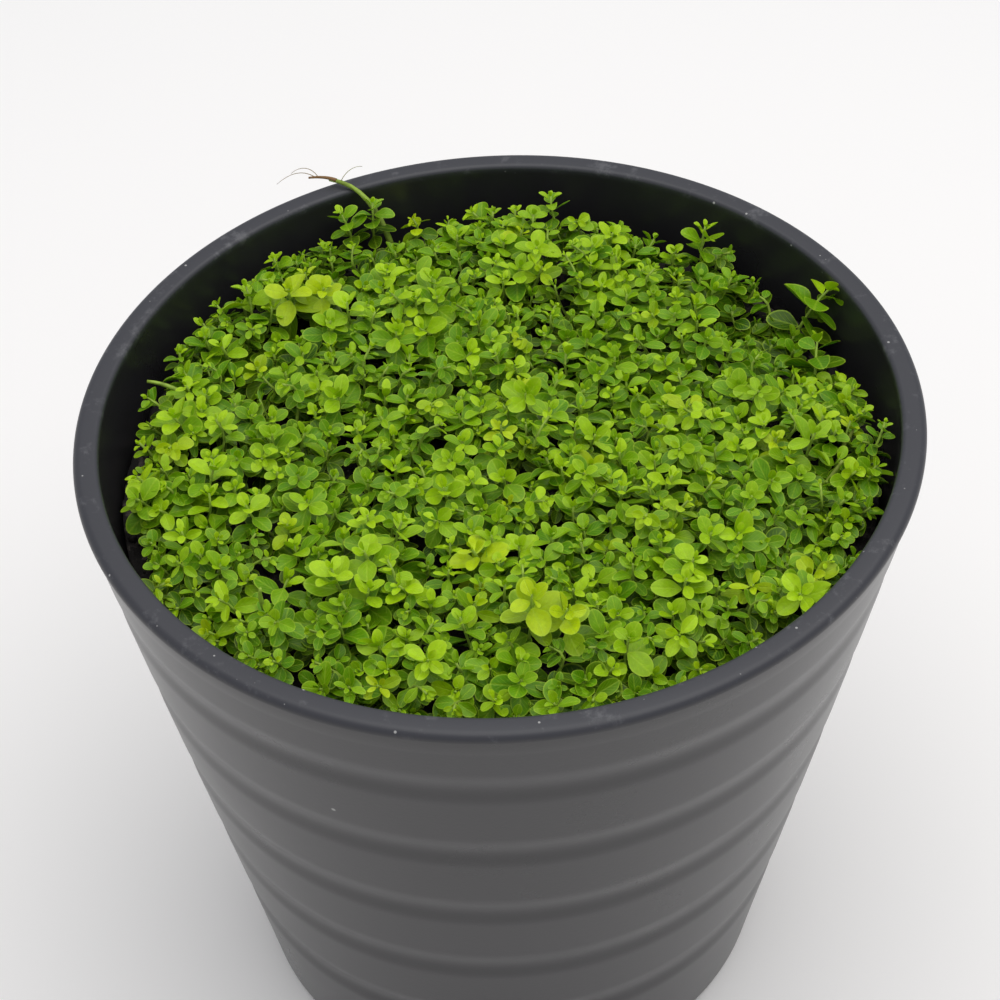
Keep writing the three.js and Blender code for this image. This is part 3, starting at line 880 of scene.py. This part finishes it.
def leafLines(tree):
    # Margin, midrib and veins on the leaf's own map: far from the middle, close to the middle line, and
    # waves that slant forwards from it
    look = leafLook
    leafMap = addNode(tree, "ShaderNodeUVMap", uv_map="leafMap")
    centred = addNode(tree, "ShaderNodeVectorMath", {1: (2, 2, 0), 2: (-1, -1, 0)}, operation="MULTIPLY_ADD")
    link(tree, leafMap.outputs[0], centred.inputs[0])
    where = addNode(tree, "ShaderNodeSeparateXYZ")
    link(tree, centred.outputs[0], where.inputs[0])
    away = addNode(tree, "ShaderNodeVectorMath", operation="LENGTH")
    link(tree, centred.outputs[0], away.inputs[0])
    far = away.outputs["Value"]
    sideWay = maths(tree, "ABSOLUTE", where.outputs["X"])
    slant = maths(tree, "MULTIPLY_ADD", sideWay, look["veinSlant"], where.outputs["Y"])
    wave = maths(tree, "SINE", maths(tree, "MULTIPLY", slant, look["veinWaves"]))
    veins = maths(tree, "MULTIPLY", smoothStep(tree, wave, *look["veinRange"]),
                  fall(tree, far, *look["veinFade"]))
    return smoothStep(tree, far, *look["marginRange"]), fall(tree, sideWay, *look["ribRange"]), veins


def leafMaterial():
    # satin skin with paler lines that are sunk a little, mottled all over, and some light passing through
    finish, tree, shader = newMaterial("leafSkin")
    look = leafLook
    shader.inputs["Specular IOR Level"].default_value = look["specular"]
    shader.inputs["Specular Tint"].default_value = look["sheenColour"]
    shader.inputs["Subsurface Weight"].default_value = look["glow"]
    shader.inputs["Subsurface Radius"].default_value = look["glowReach"]
    shader.inputs["Subsurface Scale"].default_value = mm
    skin = leafSkin(tree)
    margin, rib, veins = leafLines(tree)
    for line, tone in ((margin, "marginTone"), (rib, "ribTone"), (veins, "veinTone")):
        skin = mixColour(tree, maths(tree, "MULTIPLY", line, look[tone]), skin, look["paleColour"])
    mottle = noise(tree, objectPlace(tree), look["mottleScale"], 3.0, 0.55)
    shade = maths(tree, "MULTIPLY_ADD", mottle, look["mottleTone"], 1 - look["mottleTone"] / 2)
    bright = addNode(tree, "ShaderNodeVectorMath", operation="SCALE")
    link(tree, skin, bright.inputs[0])
    link(tree, shade, bright.inputs["Scale"])
    link(tree, bright.outputs[0], shader.inputs["Base Color"])
    smoothest = look["roughness"] - look["mottleRoughness"] / 2
    rough = maths(tree, "MULTIPLY_ADD", mottle, look["mottleRoughness"], smoothest)
    link(tree, rough, shader.inputs["Roughness"])
    height = maths(tree, "ADD", maths(tree, "MULTIPLY", rib, look["ribRelief"]),
                   maths(tree, "MULTIPLY", veins, look["veinRelief"]))
    height = maths(tree, "MULTIPLY_ADD", mottle, look["mottleRelief"], height)
    addBump(tree, shader, height, *look["relief"])
    return finish


def stemMaterial():
    # streaked pale green, turning brown where the stem is dry
    finish, tree, shader = newMaterial("stemSkin")
    look = stemLook
    shader.inputs["Specular IOR Level"].default_value = look["specular"]
    streak = noise(tree, objectPlace(tree), look["streakScale"], 3.0, 0.5)
    tone = mixColour(tree, smoothStep(tree, streak, *look["streakRange"]),
                     look["colour"], tuple(look["darkTone"] * c for c in look["colour"]))
    tone = mixColour(tree, tintParts(tree)[0], tone, look["dryColour"])
    link(tree, tone, shader.inputs["Base Color"])
    rough = maths(tree, "MULTIPLY_ADD", streak, look["streakRoughness"], look["roughness"])
    link(tree, rough, shader.inputs["Roughness"])
    addBump(tree, shader, streak, *look["relief"])
    return finish


def paintPlantlet(mesh, leafTint, stemTint, leafFaceCount, perStem):
    # Stems take the second material; every point holds its leaf's age with painted shade added, luck and
    # mood, or its stem's dryness; each leaf has the whole map to itself, and its rim is sharp
    t = leafShape
    finish = np.zeros(len(mesh.polygons), np.int32)
    finish[leafFaceCount:] = 1
    mesh.polygons.foreach_set("material_index", finish)
    tint = np.concatenate([np.repeat(leafTint, len(t["disc"]), 0), np.repeat(stemTint, perStem, 0)])
    layer = mesh.attributes.new("tint", "FLOAT_COLOR", "POINT")
    layer.data.foreach_set("color", tint.clip(0, 1).astype(np.float32).ravel())
    stemPoints = len(stemTint) * perStem
    wholeMap = np.tile(t["disc"] / 2 + 0.5, (len(leafTint), 1))
    flatMap = np.concatenate([wholeMap, np.full((stemPoints, 2), 0.5)])
    corner = np.zeros(len(mesh.loops), np.int32)
    mesh.loops.foreach_get("vertex_index", corner)
    mesh.uv_layers.new(name="leafMap").data.foreach_set("uv", flatMap[corner].astype(np.float32).ravel())
    rim = np.concatenate([np.tile(t["rim"], len(leafTint)), np.zeros(stemPoints, bool)])
    ends = np.zeros(len(mesh.edges) * 2, np.int32)
    mesh.edges.foreach_get("vertices", ends)
    sharp = rim[ends.reshape(-1, 2)].all(1)
    mesh.attributes.new("sharp_edge", "BOOLEAN", "EDGE").data.foreach_set("value", sharp)


def buildPlantlets():
    # Each shoot belongs to the plantlet whose crown is nearest; a plantlet is one mesh of its leaves, then
    # its stems
    rng = np.random.default_rng(matLook["seed"])
    names = sorted(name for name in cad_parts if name.startswith("plantlet_"))
    boxes = [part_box(name) for name in names]
    crowns = np.array([[(low.x + high.x) / 2, (low.y + high.y) / 2, low.z] for low, high in boxes]) / mm
    plan = planShoots(rng)
    plan["owner"] = nearestCrown(plan["tip"], crowns)
    curves, length = shootCurves(plan["tip"], plan["axis"], crowns[plan["owner"]])
    leaves = plantLeaves(plan, curves, length, rng)
    leafParts = ("foot", "along", "normal", "length", "width", "cup", "bend")
    leafPoints = clampInside(leafSurfaces(*[leaves[part] for part in leafParts]))
    bare = addLooseStems(plan, curves, crowns)
    stemPoints, stemQuads, stemCaps = tubes(bare["curves"], bare["radius"])
    stemPoints = clampInside(stemPoints)
    perLeaf, perStem = leafPoints.shape[1], stemPoints.shape[1]
    materials = [leafMaterial(), stemMaterial()]
    for index, name in enumerate(names):
        mine = np.flatnonzero(leaves["owner"] == index)
        myStems = np.flatnonzero(bare["owner"] == index)
        verts = np.concatenate([leafPoints[mine].reshape(-1, 3), stemPoints[myStems].reshape(-1, 3)])
        start = len(mine) * perLeaf
        leafFaces = repeatFaces(leafShape["faces"], len(mine), perLeaf, 0)
        stemFaces = repeatFaces(stemQuads, len(myStems), perStem, start)
        capFaces = repeatFaces(stemCaps, len(myStems), perStem, start)
        faces = leafFaces.tolist() + stemFaces.tolist() + capFaces.tolist()
        piece = makeObject("green_" + name, verts * mm, faces, materials)
        one = np.ones(len(mine))
        leafTint = np.stack([leaves["ageAndShade"][mine], leaves["luck"][mine], leaves["mood"][mine], one], -1)
        stemTint = np.stack([bare["dry"][myStems]] + [np.ones(len(myStems))] * 3, -1)
        paintPlantlet(piece.data, leafTint, stemTint, len(leafFaces), perStem)
        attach(piece, "root")
        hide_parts(name)


buildPlantlets()
print("plantlets done")

# The room's lengths are metres.
room = {
    "floorRadius": 2.5, "floorSides": 96, "floorColour": (0.86, 0.85, 0.84), "cloudScale": 6.0,
    "cloudTone": 0.985, "paintedLightColour": (0.98, 0.955, 0.935), "paintedLightReach": (0.08, 0.45), "roughness": 0.9,
    "specular": 0.2,
    "world": 0.57, "worldColour": (0.95, 0.98, 1.03, 1),
    "lampPlace": (0.13, 0.03, 0.9), "lampSize": 1.25, "lampPower": 5.7, "lampColour": (1.0, 0.99, 0.965),
}
# The view's lengths are millimetres and its angles degrees; it aims at a place on the rim's plane.
view = {
    "distance": 266.4, "elevation": 43.26, "aimSide": -0.27, "aimFront": -12.17, "roll": -1.38, "lens": 90.0,
    "sensor": 36.0, "planeDepth": 1.3, "nearest": 10.0,
}


def floorMaterial():
    # nearly white, with a faint cloudiness, and painted light that makes it a little brighter under and round
    # the pot, where the pot's shade falls
    finish, tree, shader = newMaterial("paleFloor")
    place = objectPlace(tree)
    pale = room["floorColour"]
    dim = tuple(room["cloudTone"] * c for c in pale)
    tone = mixColour(tree, noise(tree, place, room["cloudScale"], 2.0, 0.5), dim, pale)
    away = addNode(tree, "ShaderNodeVectorMath", operation="LENGTH")
    link(tree, place, away.inputs[0])
    # painted light: the floor's colour is brighter near the pot, lifting the pot's shade on it
    farness = smoothStep(tree, away.outputs["Value"], *room["paintedLightReach"])
    link(tree, mixColour(tree, farness, room["paintedLightColour"], tone), shader.inputs["Base Color"])
    shader.inputs["Roughness"].default_value = room["roughness"]
    shader.inputs["Specular IOR Level"].default_value = room["specular"]
    return finish


def buildRoom():
    # a flat round floor, an even bright surround, and one large soft lamp that looks at the rim's middle
    sides = room["floorSides"]
    turn = np.linspace(0, 2 * np.pi, sides, endpoint=False)
    verts = np.stack([np.cos(turn), np.sin(turn), np.zeros(sides)], -1) * room["floorRadius"]
    piece = makeObject("pale_floor", verts, [list(range(sides))], [floorMaterial()], smooth=False)
    world = bpy.data.worlds.new("softRoom")
    world.use_nodes = True
    background = world.node_tree.nodes["Background"]
    background.inputs["Color"].default_value = room["worldColour"]
    background.inputs["Strength"].default_value = room["world"]
    bpy.context.scene.world = world
    lamp = bpy.data.lights.new("softLamp", "AREA")
    lamp.shape = "DISK"
    lamp.size = room["lampSize"]
    lamp.energy = room["lampPower"]
    lamp.color = room["lampColour"]
    holder = bpy.data.objects.new("softLamp", lamp)
    bpy.context.scene.collection.objects.link(holder)
    spot = Vector(room["lampPlace"])
    holder.location = spot
    holder.rotation_euler = (Vector((0, 0, potHeight * mm)) - spot).to_track_quat("-Z", "Y").to_euler()


def buildCamera():
    # The eye is on a circle round the rim's middle, in front and above; it looks at the aim, and its two
    # side ways are turned round that line by the roll
    tilt, roll = math.radians(view["elevation"]), math.radians(view["roll"])
    rimMiddle = Vector((0, 0, potHeight - view["planeDepth"])) * mm
    eye = Vector((0, -math.cos(tilt), math.sin(tilt))) * view["distance"] * mm + rimMiddle
    aim = Vector((view["aimSide"], view["aimFront"], 0)) * mm + rimMiddle
    forward = (aim - eye).normalized()
    right = forward.cross(Vector((0, 0, 1))).normalized()
    up = right.cross(forward)
    turnedRight = math.cos(roll) * right + math.sin(roll) * up
    turnedUp = -math.sin(roll) * right + math.cos(roll) * up
    camera = bpy.data.cameras.new("viewCamera")
    camera.lens = view["lens"]
    camera.sensor_width = view["sensor"]
    camera.clip_start = view["nearest"] * mm
    holder = bpy.data.objects.new("viewCamera", camera)
    bpy.context.scene.collection.objects.link(holder)
    basis = Matrix((turnedRight, turnedUp, -forward)).transposed().to_4x4()
    basis.translation = eye
    holder.matrix_world = basis
    bpy.context.scene.camera = holder


buildRoom()
buildCamera()
bpy.context.scene.view_settings.view_transform = "Standard"
print("room and camera done")
